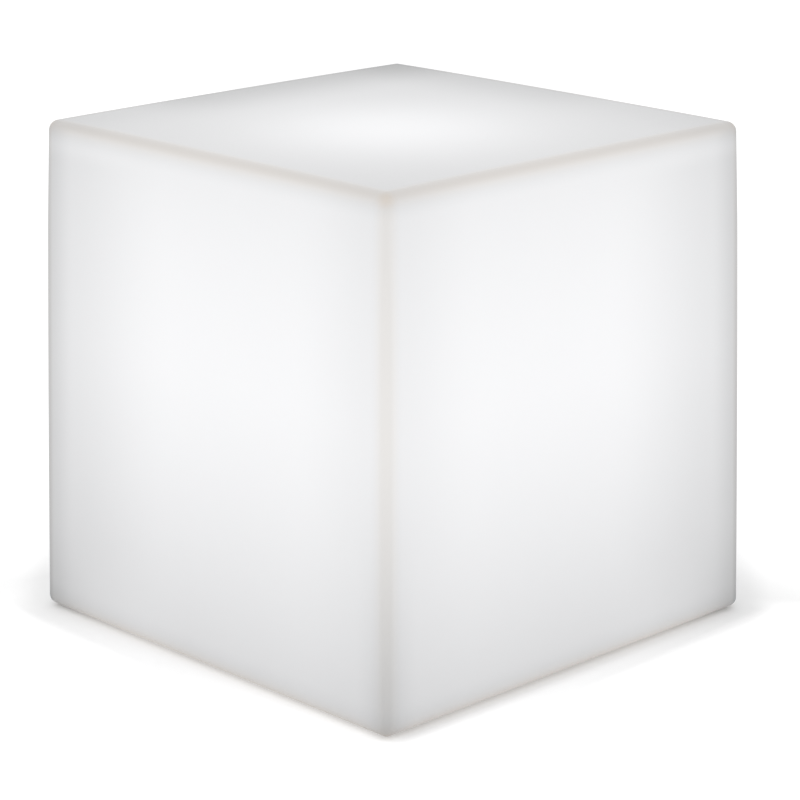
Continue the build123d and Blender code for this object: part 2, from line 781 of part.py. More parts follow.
def led_packages():
    """Square LEDs in two rings, each with a round lens hollow."""
    package = block(led_width, led_width, led_board_top, led_board_top + led_height)
    package_top = led_board_top + led_height
    package -= disc(led_lens_radius, package_top - led_lens_depth, package_top + step)
    places = round_places(outer_led_circle, outer_led_count) + round_places(inner_led_circle, inner_led_count)
    return [Pos(x, y, 0) * package for x, y in places]


def dome_profile_radius(base_radius, height):
    """Radius of the sphere through a base circle and a crown."""
    return (base_radius ** 2 + height ** 2) / (2 * height)


def sphere_cap(base_radius, height):
    """Part of a sphere above the dome's base."""
    radius = dome_profile_radius(base_radius, height)
    ball = Pos(0, 0, dome_base + height - radius) * Sphere(radius)
    return ball & disc(base_radius + step, dome_base, dome_base + height + step)


def diffuser_dome():
    """Frosted dome over the LEDs, with a flat flange that is screwed to the can's rim."""
    flange = ring(can_radius, dome_bore_radius, rim_top, dome_base)
    cap = sphere_cap(dome_bore_radius + dome_wall, dome_height)
    cap -= sphere_cap(dome_bore_radius, dome_height - dome_wall)
    for x, y in round_places(dome_screw_circle, dome_screw_count):
        flange -= disc(small_screw_radius + screw_clearance, rim_top - step, dome_base + step, x, y)
    return flange + cap


def dome_seal():
    """Round-section ring in the groove of the can's rim."""
    return Pos(0, 0, rim_top - seal_radius - seal_groove_clearance / 2) * Torus(seal_circle, seal_radius)


def screws_down(fastener, places, seat):
    """A set of fasteners driven downwards."""
    return [pointing_down(fastener, x, y, seat) for x, y in places]


def save(name, shape):
    """Write one sub-part: a solid, or a group of separate solids."""
    if isinstance(shape, list):
        shape = Compound([solid for piece in shape for solid in piece.solids()])
    export_step(shape, f"parts/{name}.step")


os.makedirs("parts", exist_ok=True)

save("cube_shell", cube_shell())
save("threaded_inserts", threaded_inserts())
save("foot_pads", foot_pads())
save("module_gasket", module_gasket())
save("module_screws", [Pos(x, y, plate_bottom) * module_screw()
                       for x, y in round_places(module_screw_circle, module_screw_count)])
save("module_housing", module_housing())
save("charging_socket", charging_socket())
save("charging_socket_pin", charging_socket_pin())
save("charging_socket_nut", charging_socket_nut())
save("port_cover", port_cover())
save("port_cover_pin", port_cover_pin())
save("port_cover_seal", port_cover_seal())
for name, side in (("power", -1), ("mode", 1)):
    save(f"{name}_button", push_button(side * button_x))
    save(f"{name}_button_boot", button_boot(side * button_x))
    save(f"{name}_switch", tact_switch(side * button_x))
    save(f"{name}_switch_plunger", switch_plunger(side * button_x))
save("control_board", control_board())
save("board_components", board_components())
save("board_screws", screws_down(small_screw(), board_screw_places(), board_top))
save("indicator_light_pipe", indicator_light_pipe())
save("breather_vent", breather_vent())
save("battery_cradle", battery_cradle())
save("battery_cells", battery_cells())
save("battery_tabs", battery_tabs())
save("battery_strap", battery_strap())
save("strap_screws", screws_down(small_screw(), strap_screw_places(), cell_middle + strap_thickness))
save("cradle_screws", screws_down(medium_screw(), mirrored_places(ear_x, ear_y), cradle_floor_top))
save("lead_connectors", lead_connectors())
save("battery_lead", battery_lead())
save("socket_lead", socket_lead())
save("led_lead", led_lead())
save("lead_grommet", lead_grommet())
save("heat_spreader", heat_spreader())
save("spreader_screws", screws_down(
    medium_screw(), round_places(spreader_screw_circle, spreader_screw_count, spreader_screw_angle), rim_top))
save("thermal_pad", led_disc(rim_top, led_board_bottom))
save("led_board", led_disc(led_board_bottom, led_board_top))
save("led_packages", led_packages())
save("led_board_screws", screws_down(
    medium_screw(led_board_top - shelf_top), round_places(led_board_screw_circle, led_board_screw_count),
    led_board_top))
save("diffuser_dome", diffuser_dome())
save("dome_seal", dome_seal())
save("dome_screws", screws_down(
    small_screw(), round_places(dome_screw_circle, dome_screw_count), dome_base))
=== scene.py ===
import json
import math
import bmesh
import bpy
import numpy as np
from mathutils import Matrix, Vector
from mathutils.geometry import delaunay_2d_cdt


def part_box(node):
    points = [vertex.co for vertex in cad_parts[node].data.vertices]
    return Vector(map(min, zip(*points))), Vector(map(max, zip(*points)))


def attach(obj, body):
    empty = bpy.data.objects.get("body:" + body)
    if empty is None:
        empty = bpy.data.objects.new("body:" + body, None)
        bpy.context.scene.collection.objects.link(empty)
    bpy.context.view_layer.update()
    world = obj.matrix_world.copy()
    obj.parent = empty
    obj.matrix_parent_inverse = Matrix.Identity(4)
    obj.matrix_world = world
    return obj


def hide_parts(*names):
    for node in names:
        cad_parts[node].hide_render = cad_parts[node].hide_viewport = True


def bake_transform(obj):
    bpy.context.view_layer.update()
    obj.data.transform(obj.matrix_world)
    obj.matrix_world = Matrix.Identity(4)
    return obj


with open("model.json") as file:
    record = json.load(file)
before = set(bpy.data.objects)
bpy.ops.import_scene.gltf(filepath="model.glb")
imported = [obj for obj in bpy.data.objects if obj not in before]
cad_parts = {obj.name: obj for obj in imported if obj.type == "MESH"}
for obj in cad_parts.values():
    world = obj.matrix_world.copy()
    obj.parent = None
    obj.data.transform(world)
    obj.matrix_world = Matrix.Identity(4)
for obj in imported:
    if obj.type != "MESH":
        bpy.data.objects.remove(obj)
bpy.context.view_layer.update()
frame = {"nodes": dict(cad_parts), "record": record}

print("stage: frame loaded,", len(frame["nodes"]), "nodes")

shellLow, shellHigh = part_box("cube_shell")
cubeMiddle = (shellLow + shellHigh) / 2
cubeHeight = shellHigh.z - shellLow.z


# the photograph's viewpoint: a long lens, looking down on the front corner
viewpoint = dict(
    turn=-45.76, down=16.42, distance=2.273, aside=-0.0061, above=0.0256,
    lens=128.65, sensor=36.0, nearest=0.05, farthest=200.0,
)


def placeCamera(v):
    turn, down = math.radians(v["turn"]), math.radians(v["down"])
    forward = Vector((math.sin(turn) * math.cos(down), math.cos(turn) * math.cos(down), -math.sin(down)))
    right = Vector((math.cos(turn), -math.sin(turn), 0.0))
    up = right.cross(forward)
    camera = bpy.data.objects.new("camera", bpy.data.cameras.new("camera"))
    bpy.context.scene.collection.objects.link(camera)
    camera.data.lens = v["lens"]
    camera.data.sensor_width = v["sensor"]
    camera.data.clip_start = v["nearest"]
    camera.data.clip_end = v["farthest"]
    place = Matrix((right, up, -forward)).transposed().to_4x4()
    place.translation = cubeMiddle - forward * v["distance"] - right * v["aside"] - up * v["above"]
    camera.matrix_world = place
    bpy.context.scene.camera = camera


placeCamera(viewpoint)
print("stage: camera placed")


# the moulded cube, in metres: a drafted box with rounded edges, hollow, with a round well in its base
cube = dict(
    draft=math.radians(1.25), wall=0.004, edge=0.008, innerEdge=0.004,
    cells=48, arc=8, rings=56, turn=96, smallTurn=32, sharp=35,
    well=0.076, wellRim=0.0015, rimPoints=6, hole=0.060,
    foot=0.013, pocket=0.0131, pocketDepth=0.0035, stem=0.0041,
    screws=6, insert=0.003, boss=0.007, bossCap=0.003,
    bow=0.0004, pinch=0.0006, droop=0.0011,          # how far it moved as it cooled: sides, top, top corners
    bowFrom=0.03, pinchFrom=0.8,                     # shares of the height where those moves begin
    droopAcross=3, droopUp=8,                        # powers of the droop: along the sides, and up the height
)
wellCeiling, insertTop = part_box("threaded_inserts")[0].z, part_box("threaded_inserts")[1].z
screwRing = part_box("threaded_inserts")[1].x - cube["insert"]
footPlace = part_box("foot_pads")[1].x - cube["foot"]
joins = dict(weld=2e-6, sliver=1e-7)                 # points this near are merged, edges this short dropped


# a drafted box with rounded edges: an inner box grown by its radius, so that each point is a point of the
# inner box plus radius times a normal, which turns round the upright edges and from straight down to
# straight up
def boxGrid(c, inset, radius):
    tilt = c["draft"]
    grow = (inset + radius) / math.cos(tilt)
    footHalf = shellHigh.x + c["edge"] * (math.tan(tilt) + 1 / math.cos(tilt) - math.cos(tilt))
    low, high = shellLow.z + inset + radius, shellHigh.z - inset - radius
    corners = np.array([(1, 1), (-1, 1), (-1, -1), (1, -1), (1, 1)], float)
    quarter = np.linspace(0, math.pi / 2, c["arc"] + 1)
    share = np.linspace(0, 1, c["cells"] + 1)[1:-1, None]
    spots, angles = [], []
    for i in range(4):
        spots += [np.repeat(corners[i:i + 1], len(quarter), 0),
                  corners[i] * (1 - share) + corners[i + 1] * share]
        angles += [quarter + i * math.pi / 2, np.full(len(share), (i + 1) * math.pi / 2)]
    spots, angles = np.vstack(spots), np.hstack(angles)
    rise = np.linspace(low, high, c["rings"] + 1)[1:-1]
    level = np.hstack([np.full(c["arc"] + 1, low), rise, np.full(c["arc"] + 1, high)])[:, None]
    slope = np.hstack([np.linspace(-math.pi / 2, tilt, c["arc"] + 1), np.full(len(rise), tilt),
                       np.linspace(tilt, math.pi / 2, c["arc"] + 1)])[:, None]
    half = footHalf - (level - shellLow.z) * math.tan(tilt) - grow
    x = spots[:, 0] * half + radius * np.cos(slope) * np.cos(angles)
    y = spots[:, 1] * half + radius * np.cos(slope) * np.sin(angles)
    z = np.broadcast_to(level + radius * np.sin(slope), x.shape)
    belt = np.stack([x, y, z], -1)
    line = np.linspace(-half[-1, 0], half[-1, 0], c["cells"] + 1)
    top = np.stack([*np.meshgrid(line, line), np.full((len(line), len(line)), z[-1, 0])], -1)
    return belt, top, belt[0]


# the small moves of a cooling moulding: the sides bow out by a parabola of the height, whose factor of 4
# makes it nearly 1 half-way up, the top is pinched in, and its corners droop with a power of how far along
# both sides they are
def settle(c, points):
    t = (points[..., 2:] - shellLow.z) / cubeHeight
    across = points[..., :2] / shellHigh.x
    pinched = np.clip(t - c["pinchFrom"], 0, 1) / (1 - c["pinchFrom"])
    widen = c["bow"] * 4 * np.clip(t - c["bowFrom"], 0, 1) * (1 - t) - c["pinch"] * pinched
    outward = np.abs(across[..., :1] * across[..., 1:])
    drop = c["droop"] * outward ** c["droopAcross"] * np.clip(t, 0, 1) ** c["droopUp"]
    return np.concatenate([points[..., :2] * (1 + widen / shellHigh.x), points[..., 2:] - drop], -1)


# a profile of radius and height turned about an upright line
def turned(profile, count, x=0.0, y=0.0):
    profile = np.array(profile, float)
    angle = np.arange(count) * 2 * math.pi / count
    radius, height = profile[:, :1], profile[:, 1:]
    return np.stack([x + radius * np.cos(angle), y + radius * np.sin(angle), height + 0 * angle], -1)


def closedGrid(points):                              # faces of a grid whose rows are closed loops
    rows, loop = points.shape[:2]
    index = np.arange(rows * loop).reshape(rows, loop)
    after = np.roll(index, -1, 1)
    return points.reshape(-1, 3), np.stack([index[:-1], after[:-1], after[1:], index[1:]], -1).reshape(-1, 4)


def openGrid(points):                                # faces of a grid whose rows have two ends
    rows, loop = points.shape[:2]
    index = np.arange(rows * loop).reshape(rows, loop)
    corners = [index[:-1, :-1], index[:-1, 1:], index[1:, 1:], index[1:, :-1]]
    return points.reshape(-1, 3), np.stack(corners, -1).reshape(-1, 4)


# a flat panel: triangles between an outline and round holes, all at one height
def panel(outline, holes):
    loops = [outline] + [turned([(radius, outline[0, 2])], count, x, y)[0] for radius, count, x, y in holes]
    places = np.vstack(loops)
    starts = np.cumsum([0] + [len(loop) for loop in loops])
    edges = [(a + i, a + (i + 1) % (b - a)) for a, b in zip(starts[:-1], starts[1:]) for i in range(b - a)]
    flat, _, faces, _, _, _ = delaunay_2d_cdt([Vector(p[:2]) for p in places], edges, [], 0, joins["sliver"])
    flat, faces = np.array([tuple(v) for v in flat]), np.array(faces)
    middle = flat[faces].mean(1)
    keep = np.ones(len(faces), bool)
    for radius, count, x, y in holes:
        keep &= np.hypot(middle[:, 0] - x, middle[:, 1] - y) > radius * math.cos(math.pi / count)
    heights = np.full((len(flat), 1), outline[0, 2])
    return np.hstack([flat, heights]), faces[keep]


def distinct(loop):                                  # a closed loop without its repeated points
    return loop[np.linalg.norm(loop - np.roll(loop, 1, 0), axis=1) > joins["sliver"]]


def roundPlaces(radius, count):                      # equal steps round a circle
    return [(radius * math.cos(a), radius * math.sin(a)) for a in np.arange(count) * 2 * math.pi / count]


def makePiece(name, surfaces, sharp):                # one mesh from surfaces that meet along shared points
    starts = np.cumsum([0] + [len(points) for points, _ in surfaces])
    faces = sum([(faces + start).tolist() for start, (_, faces) in zip(starts, surfaces)], [])
    data = bpy.data.meshes.new(name)
    data.from_pydata(np.vstack([points for points, _ in surfaces]).tolist(), [], faces)
    mesh = bmesh.new()
    mesh.from_mesh(data)
    bmesh.ops.remove_doubles(mesh, verts=mesh.verts, dist=joins["weld"])
    bmesh.ops.dissolve_degenerate(mesh, edges=mesh.edges, dist=joins["sliver"])
    bmesh.ops.recalc_face_normals(mesh, faces=mesh.faces)
    print("piece", name, len(mesh.faces), "faces, open edges", sum(not e.is_manifold for e in mesh.edges))
    mesh.to_mesh(data)
    mesh.free()
    data.shade_smooth()
    data.set_sharp_from_angle(angle=math.radians(sharp))
    piece = bpy.data.objects.new(name, data)
    bpy.context.scene.collection.objects.link(piece)
    weigh = piece.modifiers.new("flat faces stay flat", "WEIGHTED_NORMAL")
    weigh.keep_sharp = True
    return piece


# the surfaces in turn: the outside and the inside, the wall of the well, its hole and its outer wall, four
# flat panels with their holes, a pocket for each foot, and for each screw the bore of its insert and the
# boss round it
def makeCube(c):
    outerBelt, outerTop, outerFoot = boxGrid(c, 0.0, c["edge"])
    innerBelt, innerTop, innerFoot = boxGrid(c, c["wall"], c["innerEdge"])
    bottom, floor = shellLow.z, shellLow.z + c["wall"]
    wellTop, pocketTop = wellCeiling + c["wall"], shellLow.z + c["pocketDepth"]
    bossTop = insertTop + c["bossCap"]
    feet = [(sx * footPlace, sy * footPlace) for sx in (-1, 1) for sy in (-1, 1)]
    screws = roundPlaces(screwRing, c["screws"])
    pocketWall, wellWall = c["pocket"] + c["wall"], c["well"] + c["wall"]
    rim = [(c["well"] + c["wellRim"] * (1 - math.sin(a)), bottom + c["wellRim"] * (1 - math.cos(a)))
           for a in np.linspace(0, math.pi / 2, c["rimPoints"])]
    around, little = c["turn"], c["smallTurn"]
    pocket = [(c["pocket"], bottom), (c["pocket"], pocketTop), (c["stem"], pocketTop),
              (c["stem"], pocketTop + c["wall"]), (pocketWall, pocketTop + c["wall"]), (pocketWall, floor)]
    socket = [(c["insert"], wellCeiling), (c["insert"], insertTop), (0, insertTop)]
    boss = [(c["boss"], wellTop), (c["boss"], bossTop), (0, bossTop)]
    surfaces = [closedGrid(settle(c, outerBelt)), openGrid(settle(c, outerTop)),
                closedGrid(innerBelt), openGrid(innerTop),
                closedGrid(turned(rim + [(c["well"], wellCeiling)], around)),
                closedGrid(turned([(c["hole"], wellCeiling), (c["hole"], wellTop)], around)),
                closedGrid(turned([(wellWall, wellTop), (wellWall, floor)], around)),
                panel(distinct(settle(c, outerFoot)),
                      [(rim[0][0], around, 0.0, 0.0)] + [(c["pocket"], little, x, y) for x, y in feet]),
                panel(distinct(innerFoot),
                      [(wellWall, around, 0.0, 0.0)] + [(pocketWall, little, x, y) for x, y in feet]),
                panel(turned([(c["well"], wellCeiling)], around)[0],
                      [(c["hole"], around, 0.0, 0.0)] + [(c["insert"], little, x, y) for x, y in screws]),
                panel(turned([(wellWall, wellTop)], around)[0],
                      [(c["hole"], around, 0.0, 0.0)] + [(c["boss"], little, x, y) for x, y in screws])]
    surfaces += [closedGrid(turned(pocket, little, x, y)) for x, y in feet]
    surfaces += [closedGrid(turned(shape, little, x, y)) for x, y in screws for shape in (socket, boss)]
    piece = makePiece("moulded_cube", surfaces, c["sharp"])
    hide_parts("cube_shell")
    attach(piece, "light")
    return piece


mouldedCube = makeCube(cube)
print("stage: cube made")


# a button's silicone boot, in metres: its flange on the plate, and its crown over the button
boot = dict(
    flange=0.0008, flangeWidth=0.0026, wall=0.0006, round=0.0003, cleft=0.0004, hole=0.0021,
    arc=4, turn=64, sharp=40,
)


# a closed profile with its corners rounded: each becomes a parabola from a point before it to one after it,
# which is pulled towards the corner itself
def roundOff(profile, radius, arc):
    profile = np.array(profile, float)
    back, on = np.roll(profile, 1, 0) - profile, np.roll(profile, -1, 0) - profile
    share = np.linspace(0, 1, arc + 1)[None, :, None]
    first = (profile + back * radius / np.linalg.norm(back, axis=1, keepdims=True))[:, None]
    last = (profile + on * radius / np.linalg.norm(on, axis=1, keepdims=True))[:, None]
    corner = profile[:, None]
    return ((1 - share) ** 2 * first + 2 * share * (1 - share) * corner + share ** 2 * last).reshape(-1, 2)


# the section of the boot in radius and height, with its corners rounded, turned about the button's middle
def makeBoot(b, button):
    low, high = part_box(button + "_boot")
    middle = (low + high) / 2
    reach = high.x - middle.x
    outer = reach - b["flangeWidth"]
    inner, crown, base = outer - b["wall"], high.z - b["wall"], low.z + b["flange"]
    section = [(inner, low.z), (reach, low.z), (reach, base), (outer + b["cleft"], base),
               (outer, base + b["cleft"]), (outer, high.z), (b["hole"], high.z), (b["hole"], crown),
               (inner, crown)]
    rounded = roundOff(section, b["round"] / 2, b["arc"])
    rings = turned(np.vstack([rounded, rounded[:1]]), b["turn"], middle.x, middle.y)
    piece = makePiece(button + "_soft_boot", [closedGrid(rings)], b["sharp"])
    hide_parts(button + "_boot")
    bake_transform(piece)
    return piece


boots = [makeBoot(boot, button) for button in ("power_button", "mode_button")]
print("stage: boots made")


# node materials, written as arithmetic: a Wire is an output that can be added, multiplied and so on
class Wire:
    def __init__(self, tree, socket):
        self.tree = tree
        self.socket = socket

    def step(self, operation, *others):
        return mathNode(self.tree, operation, self, *others)

    def __add__(self, other):
        return self.step("ADD", other)

    def __sub__(self, other):
        return self.step("SUBTRACT", other)

    def __mul__(self, other):
        return self.step("MULTIPLY", other)

    def __truediv__(self, other):
        return self.step("DIVIDE", other)

    def __rsub__(self, other):
        return mathNode(self.tree, "SUBTRACT", other, self)

    def __neg__(self):
        return self.step("MULTIPLY", -1.0)

    def __abs__(self):
        return self.step("ABSOLUTE")


def feed(tree, socket, value):                       # a number, a colour or another node's output
    if isinstance(value, Wire):
        tree.links.new(value.socket, socket)
    else:
        socket.default_value = value


def mathNode(tree, operation, *values):
    node = tree.nodes.new("ShaderNodeMath")
    node.operation = operation
    for socket, value in zip(node.inputs, values):
        feed(tree, socket, value)
    return Wire(tree, node.outputs[0])


def ramp(value, low, high, start=0.0, end=1.0, kind="SMOOTHSTEP"):    # value from low..high to start..end
    node = value.tree.nodes.new("ShaderNodeMapRange")
    node.interpolation_type = kind
    for name, v in zip(("Value", "From Min", "From Max", "To Min", "To Max"), (value, low, high, start, end)):
        feed(value.tree, node.inputs[name], v)
    return Wire(value.tree, node.outputs[0])


def larger(a, b):
    return a.step("MAXIMUM", b)


def smaller(a, b):
    return a.step("MINIMUM", b)


def root(a):
    return a.step("SQRT")


def wave(value, length):                             # 0 to 1 and back over each length
    return (value * (2 * math.pi / length)).step("SINE") * 0.5 + 0.5


def stripe(off, width, inner=0.4, outer=0.6):        # 1 on a line, fading between two shares of its width
    return ramp(off, width * inner, width * outer, 1.0, 0.0)


def comb(value, pitch, width):                       # 1 on a line of this width in every pitch
    return stripe(abs((value / pitch).step("FRACT") - 0.5) * pitch, width)


def blend(factor, a, b):                             # colour a where factor is 0, colour b where it is 1
    node = factor.tree.nodes.new("ShaderNodeMix")
    node.data_type = "RGBA"
    for socket, value in zip((node.inputs[0], node.inputs[6], node.inputs[7]), (factor, a, b)):
        feed(factor.tree, socket, (*value, 1) if isinstance(value, tuple) else value)
    return Wire(factor.tree, node.outputs[2])


def dim(colour, factor):                             # a colour times a number
    node = factor.tree.nodes.new("ShaderNodeVectorMath")
    node.operation = "SCALE"
    feed(factor.tree, node.inputs[0], colour)
    feed(factor.tree, node.inputs["Scale"], factor)
    return Wire(factor.tree, node.outputs[0])


def stretch(place, x, y, z):                         # the place with each axis scaled
    node = place.tree.nodes.new("ShaderNodeVectorMath")
    node.operation = "MULTIPLY"
    feed(place.tree, node.inputs[0], place)
    node.inputs[1].default_value = (x, y, z)
    return Wire(place.tree, node.outputs[0])


def noise(place, size, detail=3.0):                  # soft noise with features of this size in metres
    node = place.tree.nodes.new("ShaderNodeTexNoise")
    feed(place.tree, node.inputs["Vector"], place)
    node.inputs["Scale"].default_value = 1 / size
    node.inputs["Detail"].default_value = detail
    return Wire(place.tree, node.outputs["Fac"])


def cells(place, size):                              # distance from the middles of cells of this size
    node = place.tree.nodes.new("ShaderNodeTexVoronoi")
    feed(place.tree, node.inputs["Vector"], place)
    node.inputs["Scale"].default_value = 1 / size
    return Wire(place.tree, node.outputs["Distance"])


def bump(shader, height, distance):
    node = height.tree.nodes.new("ShaderNodeBump")
    node.inputs["Distance"].default_value = distance
    feed(height.tree, node.inputs["Height"], height)
    height.tree.links.new(node.outputs["Normal"], shader.inputs["Normal"])


def newMaterial(name):                               # with its shader, and the place on the object as wires
    material = bpy.data.materials.new(name)
    material.use_nodes = True
    tree = material.node_tree
    place = tree.nodes.new("ShaderNodeTexCoord").outputs["Object"]
    split = tree.nodes.new("ShaderNodeSeparateXYZ")
    tree.links.new(place, split.inputs[0])
    return material, tree.nodes["Principled BSDF"], Wire(tree, place), [Wire(tree, s) for s in split.outputs]


def setShader(shader, **values):                     # colour, roughness and other inputs by short names
    names = dict(colour="Base Color", rough="Roughness", metal="Metallic", specular="Specular IOR Level",
                 glow="Emission Color", glowStrength="Emission Strength", through="Transmission Weight",
                 coat="Coat Weight")
    for name, value in values.items():
        feed(shader.id_data, shader.inputs[names[name]], (*value, 1) if isinstance(value, tuple) else value)


# the look that most finishes share: a signal from 0 to 1 takes the colour from its darkest share up by
# toneRange, and the roughness from rough up by roughRange
def dress(shader, s, colour, signal, **more):
    setShader(shader, colour=dim(colour, signal * s["toneRange"] + s["darkest"]),
              rough=signal * s["roughRange"] + s["rough"], **more)


# the glowing skin of the cube: white polyethylene, lit from inside by the module in its base, with painted
# shade on the far upright edges and the back edges of the top, and painted light towards the front corner.
# Heights go from 0 at the foot to 1 at the top; nearness to an edge goes up to 1 on it; brightnesses are
# those of the render
glow = dict(
    plastic=(0.417, 0.418, 0.42), roughness=0.42, roughRange=0.1, specular=0.30,
    peel=0.0016, peelDetail=2.0, peelDepth=0.00001, tone=0.012, toneSize=0.05,
    # the sides: brightest at one level, darker towards the foot, the top and the upright edges
    side=0.544, level=0.575, lowFall=0.456, lowPower=1.38, highFall=0.158,
    farFall=0.299, farStart=0.186, farRim=0.275, farRimStart=0.809,
    nearFall=0.13, nearStart=0.5, nearRimLow=0.323, nearRimStart=0.83,
    foot=0.058, footReach=0.06, under=0.05, underReach=0.01, shoulder=0.105, shoulderFrom=0.945,
    # painted light and shade on the parts of the sides next to the two far edges: low down, and just under
    # the top
    lowReach=0.2, lowLift=0.036, lowLiftFrom=0.1, lowLiftTo=0.5,
    lowDip=0.085, lowDipFrom=0.65, lowDipTo=0.95,
    highLift=0.045, highLiftFrom=0.92, highLiftTo=0.965, highSideFrom=0.3, highSideTo=0.7,
    # the last millimetres before the rounding of the upright edges, darker, with painted shade on the far
    # edges
    edgeTo=0.976, farEdge=0.10, farEdgeFrom=0.945, crease=0.026, creaseFrom=0.96,
    nearEdge=0.03, nearEdgeFrom=0.92,
    # the top: brightest off its middle, towards the front corner (painted light), and darker towards its
    # corners and, as painted shade, its two back edges
    top=0.448, topShift=0.144, topFall=0.392, topReach=0.925,
    topCorner=0.138, topCornerFrom=0.75, topCornerTo=1.45, topEdge=0.06, topEdgeFrom=0.92, topEdgeTo=0.99,
    topLeft=0.304, topRight=0.209, topBackStart=0.5, leftEase=0.75, leftEaseFrom=0.2, leftEaseTo=0.7,
    rightEase=0.6, rightEaseFrom=0.0, rightEaseTo=0.5, lip=0.001,
    # faint tints: cool on the faces, warm along the edges, warmer along the top edges and at the corners
    cool=(0.98, 0.982, 1.0), warm=(1.0, 0.955, 0.91),
    ledgeWarm=(1.0, 0.90, 0.80), cornerWarm=(1.03, 0.80, 0.56),
    rimFrom=0.925, rimTo=0.99, ledgeFrom=0.94, ledgeTo=0.985, tipFrom=0.93, tipTo=0.99,
)


# the brightness of the sides, glow with painted shade: it falls with a power of the height away from the
# brightest level, and in smooth steps towards the upright edges, more towards the far ones; corner is 1 on
# the far edges and -1 on the near one
def sideGlowWithPaintedShade(g, height, corner):
    below = ramp(height, 0.0, g["level"], 1.0, 0.0, "LINEAR")
    above = ramp(height, g["level"], 1.0, 0.0, 1.0, "LINEAR")
    upright = 1 - below.step("POWER", g["lowPower"]) * g["lowFall"] - above * above * g["highFall"]
    # painted shade: the sides darker towards the far upright edges than towards the near one
    far = 1 - ramp(corner, g["farStart"], 1.0) * g["farFall"]
    far = far - ramp(corner, g["farRimStart"], 1.0) * g["farRim"]
    near = ramp(-corner, g["nearStart"], 1.0) * g["nearFall"]
    nearRim = ramp(-corner, g["nearRimStart"], 1.0) * below * below * g["nearRimLow"]
    side = upright * (far - near - nearRim) * g["side"]
    side = side - ramp(height, 0.0, g["footReach"], g["foot"], 0.0)
    side = side - ramp(height, g["shoulderFrom"], 1.0) * g["shoulder"]
    side = side + ramp(height, 0.0, g["underReach"], g["under"], 0.0)
    # painted light and shade next to the far edges, low down and just under the top
    low = ramp(corner, g["lowLiftFrom"], g["lowLiftTo"]) * g["lowLift"]
    low = low - ramp(corner, g["lowDipFrom"], g["lowDipTo"]) * g["lowDip"]
    side = side + low * ramp(height, 0.0, g["lowReach"], 1.0, 0.0)
    high = ramp(height, g["highLiftFrom"], g["highLiftTo"]) * ramp(corner, g["highSideFrom"], g["highSideTo"])
    side = side + high * g["highLift"]
    # painted shade on the last millimetres of the far edges
    side = side - ramp(corner, g["farEdgeFrom"], g["edgeTo"]) * g["farEdge"]
    fold = ramp(-corner, g["creaseFrom"], g["edgeTo"], kind="LINEAR")
    side = side - fold * fold * g["crease"]
    return side - ramp(-corner, g["nearEdgeFrom"], g["edgeTo"], 0.0, g["nearEdge"], "LINEAR")


# the brightness of the top, glow with painted light and shade: it falls with the distance from its brightest
# point, which is moved towards the front corner, and in smooth steps towards the two back edges; across and
# along go from -1 to 1
def topGlowWithPaintedShade(g, across, along):
    # painted light: the brightest point is moved towards the front corner
    out = across - g["topShift"]
    off = along + g["topShift"]
    reach = root(out * out + off * off)
    easeLeft = ramp(-along, g["leftEaseFrom"], g["leftEaseTo"], 1.0, 1.0 - g["leftEase"])
    easeRight = ramp(across, g["rightEaseFrom"], g["rightEaseTo"], 1.0, 1.0 - g["rightEase"])
    # painted shade towards the two back edges
    back = ramp(-across, g["topBackStart"], 1.0) * easeLeft * g["topLeft"]
    back = back + ramp(along, g["topBackStart"], 1.0) * easeRight * g["topRight"]
    fall = ramp(reach, 0.0, g["topReach"]) * g["topFall"]
    fall = fall + ramp(reach, g["topCornerFrom"], g["topCornerTo"]) * g["topCorner"]
    edge = ramp(larger(-across, along), g["topEdgeFrom"], g["topEdgeTo"], 0.0, g["topEdge"], "LINEAR")
    return (1 - fall - back) * g["top"] - edge


# three numbers say where a place is, each 1 on a pair of faces: the second largest of them is 1 on an edge
# and the least is 1 at a corner, and the tints follow these two
def glowingSkinWithPaintedShade(g):
    material, shader, place, (x, y, z) = newMaterial("glowing_polyethylene_painted_shade")
    height = (z - shellLow.z) / cubeHeight
    half = shellHigh.x - (z - shellLow.z) * math.tan(cube["draft"])
    across, along = x / half, y / half
    # the glow of the module inside, with painted shade on the far upright edges and the top's back edges
    side, top = sideGlowWithPaintedShade(g, height, across * along), topGlowWithPaintedShade(g, across, along)
    onTop = ramp(z, shellHigh.z - cube["edge"], shellHigh.z - g["lip"])
    brightness = side * (1 - onTop) + top * onTop
    a, b, c = abs(across), abs(along), abs(height * 2 - 1)
    least = smaller(smaller(a, b), c)
    second = a + b + c - larger(larger(a, b), c) - least
    rim, tip = ramp(second, g["rimFrom"], g["rimTo"]), ramp(least, g["tipFrom"], g["tipTo"])
    ledge = ramp(c, g["ledgeFrom"], g["ledgeTo"])
    edgeTint = blend(tip, blend(ledge, g["warm"], g["ledgeWarm"]), g["cornerWarm"])
    peel = noise(place, g["peel"], g["peelDetail"])
    tone = noise(place, g["toneSize"]) * (2 * g["tone"]) + (1 - g["tone"])
    setShader(shader, colour=dim(g["plastic"], tone),
              rough=peel * g["roughRange"] + (g["roughness"] - g["roughRange"] / 2),
              specular=g["specular"], glow=dim(blend(rim, g["cool"], edgeTint), brightness), glowStrength=1.0)
    bump(shader, peel, g["peelDepth"])
    return material


